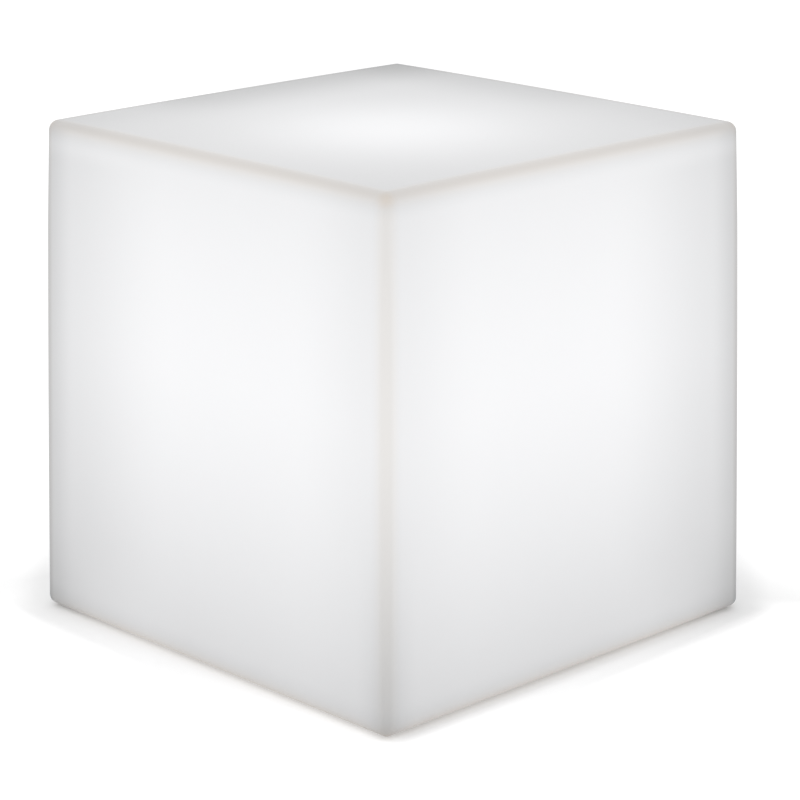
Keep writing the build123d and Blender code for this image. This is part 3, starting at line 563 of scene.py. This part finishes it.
# moulded plastic and rubber: slow drifts of tone, and the grain of the mould as a bump; foam has cells
moulded = dict(
    module_abs=dict(colour=(0.78, 0.78, 0.77), rough=0.55, tone=0.03, grain=0.0006, depth=0.00004),
    button_abs=dict(colour=(0.58, 0.59, 0.61), rough=0.35, tone=0.03, grain=0.0009, depth=0.00002),
    foot_rubber=dict(colour=(0.58, 0.58, 0.57), rough=0.8, tone=0.08, grain=0.0005, depth=0.00008),
    seal_silicone=dict(colour=(0.72, 0.71, 0.69), rough=0.45, tone=0.05, grain=0.0012, depth=0.00002),
    gasket_foam=dict(colour=(0.06, 0.06, 0.06), rough=0.9, tone=0.25, grain=0.0007, depth=0.0002, foam=True),
    component_black=dict(colour=(0.035, 0.035, 0.04), rough=0.45, tone=0.12, grain=0.0004, depth=0.00002),
    cradle_abs=dict(colour=(0.11, 0.11, 0.12), rough=0.55, tone=0.10, grain=0.0006, depth=0.00004),
    lead_pvc=dict(colour=(0.62, 0.06, 0.045), rough=0.38, tone=0.08, grain=0.003, depth=0.00004),
    connector_nylon=dict(colour=(0.82, 0.80, 0.74), rough=0.48, tone=0.05, grain=0.0008, depth=0.00002),
    thermal_silicone=dict(colour=(0.43, 0.53, 0.60), rough=0.7, tone=0.07, grain=0.0011, depth=0.00012,
                          foam=True),
)
mouldedWear = dict(drift=0.012, grainDetail=2.0, roughRange=0.12)


def mouldedFinish(name, s, wear):
    material, shader, place, _ = newMaterial(name)
    grain = cells(place, s["grain"]) if s.get("foam") else noise(place, s["grain"], wear["grainDetail"])
    drift = noise(place, wear["drift"]) * s["tone"] + grain * s["tone"]
    setShader(shader, colour=dim(s["colour"], drift + (1 - s["tone"])),
              rough=grain * wear["roughRange"] + (s["rough"] - wear["roughRange"] / 2))
    bump(shader, grain, s["depth"])
    return material


# metal: streaks along one axis where it was brushed or rolled, rings about the middle where it was turned
metals = dict(
    stainless_steel=dict(colour=(0.62, 0.61, 0.59), rough=0.3, pitch=0.0003, lines=(4, 4, 0.2),
                         depth=0.000004),
    brass_insert=dict(colour=(0.78, 0.58, 0.28), rough=0.35, pitch=0.0008, lines=(1, 1, 0.3), depth=0.00002),
    nickel_strip=dict(colour=(0.66, 0.63, 0.57), rough=0.34, pitch=0.0005, lines=(0.1, 3, 3), depth=0.000004),
    aluminium_plate=dict(colour=(0.80, 0.80, 0.81), rough=0.36, pitch=0.0009, rings=True, depth=0.00001),
)
metalWear = dict(smudge=0.006, lineTone=0.12, smudgeTone=0.1, darkest=0.86, roughRange=0.12)


def metalFinish(name, s, wear):
    material, shader, place, (x, y, _) = newMaterial(name)
    if s.get("rings"):
        lines = wave(root(x * x + y * y), s["pitch"])
    else:
        lines = noise(stretch(place, *s["lines"]), s["pitch"])
    smudge = noise(place, wear["smudge"])
    tone = lines * wear["lineTone"] + smudge * wear["smudgeTone"] + wear["darkest"]
    roughness = lines * wear["roughRange"] + smudge * wear["roughRange"] + (s["rough"] - wear["roughRange"])
    setShader(shader, colour=dim(s["colour"], tone), metal=1.0, rough=roughness)
    bump(shader, lines, s["depth"])
    return material


# the control board: green mask over a woven laminate, with copper tracks that show through as a paler green.
# Soft noise says where: tracks go along x above the levels in runs, along y below those in ups, and pads
# stand above those in pads
board = dict(
    mask=(0.035, 0.17, 0.08), track=(0.06, 0.26, 0.12), pad=(0.72, 0.66, 0.50),
    pitch=0.00254, width=0.0006, hole=0.00055, holeEdge=1.15,
    patch=0.006, patchStretch=(1, 0.35, 1), runs=(0.52, 0.54), ups=(0.44, 0.46),
    padPatch=0.005, pads=(0.56, 0.57),
    weave=0.0008, relief=0.3, depth=0.00003, toneRange=0.12, darkest=0.92, roughRange=0.06, rough=0.3,
)


def boardFinish(name, s):
    material, shader, place, (x, y, _) = newMaterial(name)
    patches = noise(stretch(place, *s["patchStretch"]), s["patch"], detail=0.0)
    runs = comb(y, s["pitch"] / 2, s["width"]) * ramp(patches, *s["runs"])
    ups = comb(x, s["pitch"] / 2, s["width"]) * ramp(patches, *s["ups"], 1.0, 0.0)
    stepX = (x / s["pitch"]).step("FRACT") - 0.5
    stepY = (y / s["pitch"]).step("FRACT") - 0.5
    reach = root(stepX * stepX + stepY * stepY) * s["pitch"]
    dot = ramp(reach, s["hole"], s["hole"] * s["holeEdge"], 1.0, 0.0)
    pads = dot * ramp(noise(place, s["padPatch"], detail=0.0), *s["pads"])
    weave = wave(x, s["weave"]) * wave(y, s["weave"])
    tracks = larger(runs, ups)
    dress(shader, s, blend(pads, blend(tracks, s["mask"], s["track"]), s["pad"]), weave)
    bump(shader, tracks + pads + weave * s["relief"], s["depth"])
    return material


# the board of the lamps: a white mask with rings of paler track under the two rings of lamps, joined by
# spokes, and a grey edge
lampBoard = dict(
    mask=(0.80, 0.80, 0.78), track=(0.87, 0.87, 0.86), edge=(0.55, 0.54, 0.52),
    edgeFrom=0.0325, edgeTo=0.0330,
    rings=(0.009, 0.022), ringWidth=0.0024, ringInner=0.45, ringOuter=0.5,
    spokes=12, spokeWidth=0.03, spokeStart=(0.009, 0.010), spokeEnd=(0.03, 0.031),
    grain=0.0007, grainDetail=2.0, relief=0.2, depth=0.00003,
    toneRange=0.06, darkest=0.96, roughRange=0.08, rough=0.28,
)


def lampBoardFinish(name, s):
    material, shader, place, (x, y, _) = newMaterial(name)
    reach = root(x * x + y * y)
    rings = [stripe(abs(reach - r), s["ringWidth"], s["ringInner"], s["ringOuter"]) for r in s["rings"]]
    spokes = comb(y.step("ARCTAN2", x), 2 * math.pi / s["spokes"], s["spokeWidth"])
    spokes = spokes * ramp(reach, *s["spokeStart"]) * ramp(reach, *s["spokeEnd"], 1.0, 0.0)
    tracks = larger(larger(*rings), spokes)
    edge = ramp(reach, s["edgeFrom"], s["edgeTo"])
    grain = noise(place, s["grain"], s["grainDetail"])
    dress(shader, s, blend(edge, blend(tracks, s["mask"], s["track"]), s["edge"]), grain)
    bump(shader, tracks + grain * s["relief"], s["depth"])
    return material


# the cells: a blue shrink sleeve with a white band, wrinkled where it folds over the bare metal ends
sleeve = dict(
    colour=(0.05, 0.17, 0.42), band=(0.75, 0.76, 0.76), end=(0.55, 0.54, 0.52),
    bandAt=0.024, bandWidth=0.0018, bandInner=0.48, bandOuter=0.52,
    foldFrom=0.0306, endFrom=0.0322, endFade=0.0001, fold=0.0012, foldStretch=(0.15, 1, 1),
    drift=0.004, relief=0.1, depth=0.0001, toneRange=0.16, darkest=0.9, roughRange=0.1, rough=0.22, coat=0.4,
)


def sleeveFinish(name, s):
    material, shader, place, (x, _, _) = newMaterial(name)
    out = abs(x)
    band = stripe(abs(x - s["bandAt"]), s["bandWidth"], s["bandInner"], s["bandOuter"])
    ends = ramp(out, s["endFrom"], s["endFrom"] + s["endFade"])
    fold = noise(stretch(place, *s["foldStretch"]), s["fold"]) * ramp(out, s["foldFrom"], s["endFrom"])
    drift = noise(place, s["drift"])
    dress(shader, s, blend(ends, blend(band, s["colour"], s["band"]), s["end"]), drift, coat=s["coat"])
    bump(shader, fold + drift * s["relief"], s["depth"])
    return material


# a lamp: white package, and phosphor on the floor of its window, which glows
lamp = dict(
    package=(0.84, 0.84, 0.82), phosphor=(0.90, 0.78, 0.30), light=(1.0, 0.93, 0.75), glow=1.2,
    floor=0.0735, floorInner=0.00008, floorOuter=0.00014, grain=0.0003, grainDetail=2.0, depth=0.00002,
    toneRange=0.1, darkest=0.93, roughRange=0.1, rough=0.35,
)


def lampFinish(name, s):
    material, shader, place, (_, _, z) = newMaterial(name)
    grain = noise(place, s["grain"], s["grainDetail"])
    window = ramp(abs(z - s["floor"]), s["floorInner"], s["floorOuter"], 1.0, 0.0)
    dress(shader, s, blend(window, s["package"], s["phosphor"]), grain,
          glow=dim(s["light"], window * s["glow"]), glowStrength=1.0)
    bump(shader, grain, s["depth"])
    return material


# the dome: frosted white, brightest over the inner ring of lamps and darker towards its rim
dome = dict(
    colour=(0.82, 0.82, 0.81), glow=(0.62, 0.61, 0.58), middle=0.01, reach=0.055, rim=0.35, frostGlow=0.04,
    frost=0.0005, frostDetail=2.0, depth=0.00003, toneRange=0.08, darkest=0.95, roughRange=0.15, rough=0.5,
)


def domeFinish(name, s):
    material, shader, place, (x, y, _) = newMaterial(name)
    frost = noise(place, s["frost"], s["frostDetail"])
    reach = root(x * x + y * y)
    shine = ramp(reach, s["middle"], s["reach"], 1.0, s["rim"]) + frost * s["frostGlow"]
    dress(shader, s, s["colour"], frost, glow=dim(s["glow"], shine), glowStrength=1.0)
    bump(shader, frost, s["depth"])
    return material


# the light pipe: clear, with a faint green from the indicator behind it
pipe = dict(
    colour=(0.86, 0.92, 0.90), through=0.75, glow=(0.05, 0.30, 0.10), low=0.0076, high=0.0199, dimmest=0.35,
    flow=0.0015, flowStretch=(1, 1, 0.3), depth=0.00001,
    toneRange=0.1, darkest=0.94, roughRange=0.1, rough=0.12,
)


def pipeFinish(name, s):
    material, shader, place, (_, _, z) = newMaterial(name)
    flow = noise(stretch(place, *s["flowStretch"]), s["flow"])
    shine = ramp(z, s["low"], s["high"], s["dimmest"], 1.0, "LINEAR")
    dress(shader, s, s["colour"], flow, through=s["through"], glow=dim(s["glow"], shine), glowStrength=1.0)
    bump(shader, flow, s["depth"])
    return material


finishes = {slot: mouldedFinish(slot, s, mouldedWear) for slot, s in moulded.items()}
finishes.update({slot: metalFinish(slot, s, metalWear) for slot, s in metals.items()})
finishes.update(
    board_laminate=boardFinish("board_laminate", board),
    led_board_laminate=lampBoardFinish("lamp_board", lampBoard),
    cell_wrap=sleeveFinish("cell_wrap", sleeve), led_phosphor=lampFinish("led_phosphor", lamp),
    dome_frosted=domeFinish("dome_frosted", dome), clear_pipe=pipeFinish("clear_pipe", pipe),
)
mouldedCube.data.materials.append(glowingSkinWithPaintedShade(glow))
for piece in boots:
    piece.data.materials.append(finishes["seal_silicone"])
for row in frame["record"]["subparts"]:
    if row["node"] != "cube_shell":
        mesh = frame["nodes"][row["node"]].data
        mesh.materials.clear()
        mesh.materials.append(finishes[row["material_slot"]])
print("stage: finishes made,", len(finishes) + 1)


# a white world, and a white floor that is lifted a little more for the camera, as the photograph's floor is;
# each part of the lift has its strength, and the places in metres where it begins and where it is whole
# the lift is painted light and painted shadow that shape the floor's real shadow: a fill rising towards the
# front, light outwards from the foot and beyond the side corners, and a darker line along the foot
studio = dict(
    world=1.0, floorSize=60.0, floorColour=0.9,
    paintedFill=0.32, fillFrom=-0.05, fillTo=0.283, fillSide=(0.6, -0.8),     # rises towards the front
    clear=0.34, clearFrom=0.005, clearTo=0.045, frontEdge=0.025,       # outwards from the foot, in front only
    floorLift=0.14, farFrom=0.03, farTo=0.12,                          # everywhere away from the cube
    beside=0.1, besideFrom=0.006, besideTo=0.034,                      # beyond the left and right corners
    contact=0.8, contactFrom=0.0, contactTo=0.014,                     # takes light away right along the foot
    contactSide=0.17, contactFade=0.04,                                # but not along the left front side
)


# the camera, metal and glass see it white, whatever the strength of the light it gives
def makeWorld(s):
    world = bpy.data.worlds.new("studio")
    bpy.context.scene.world = world
    world.use_nodes = True
    tree = world.node_tree
    ray = tree.nodes.new("ShaderNodeLightPath")
    kinds = ("Is Camera Ray", "Is Glossy Ray", "Is Transmission Ray")
    camera, glossy, through = [Wire(tree, ray.outputs[kind]) for kind in kinds]
    seen = larger(larger(camera, glossy), through)
    background = tree.nodes["Background"]
    background.inputs["Color"].default_value = (1, 1, 1, 1)
    feed(tree, background.inputs["Strength"], ramp(seen, 0.0, 1.0, s["world"], 1.0, "LINEAR"))


def makeFloor(s):
    size = s["floorSize"]
    mesh = bpy.data.meshes.new("floor")
    corners = [(-size, -size, 0), (size, -size, 0), (size, size, 0), (-size, size, 0)]
    mesh.from_pydata(corners, [], [(0, 1, 2, 3)])
    floor = bpy.data.objects.new("floor", mesh)
    bpy.context.scene.collection.objects.link(floor)
    material, shader, place, (x, y, _) = newMaterial("floor_white")
    # painted fill light, rising towards the front
    towards = x * s["fillSide"][0] + y * s["fillSide"][1]
    paintedFill = ramp(towards, s["fillFrom"], s["fillTo"], 0.0, s["paintedFill"], "LINEAR")
    outX, outY = larger(abs(x) - shellHigh.x, 0.0), larger(abs(y) - shellHigh.x, 0.0)
    away = root(outX * outX + outY * outY)
    inFront = ramp((x - y) * math.sqrt(0.5), -s["frontEdge"], s["frontEdge"])
    # painted light outwards from the foot, in front only
    clear = ramp(away, s["clearFrom"], s["clearTo"], 0.0, s["clear"]) * inFront
    across = abs(x + y) * math.sqrt(0.5) - shellHigh.x * math.sqrt(2)
    # painted shadow along the foot, but not along the left front side
    shade = ramp(away, s["contactFrom"], s["contactTo"], s["contact"], 0.0)
    shade = shade * ramp(y, -s["contactSide"] - s["contactFade"], -s["contactSide"])
    lift = larger(paintedFill, clear) * (1 - shade)
    lift = larger(lift, ramp(away, s["farFrom"], s["farTo"], 0.0, s["floorLift"]))
    # painted light beyond the left and right corners
    lift = lift + ramp(across, s["besideFrom"], s["besideTo"], 0.0, s["beside"])
    seen = Wire(place.tree, place.tree.nodes.new("ShaderNodeLightPath").outputs["Is Camera Ray"])
    setShader(shader, colour=(s["floorColour"],) * 3, rough=1.0, specular=0.0,
              glow=(1.0, 1.0, 1.0), glowStrength=seen * lift)
    mesh.materials.append(material)


makeWorld(studio)
makeFloor(studio)
bpy.context.scene.view_settings.view_transform = "Standard"
print("stage: floor and light made")
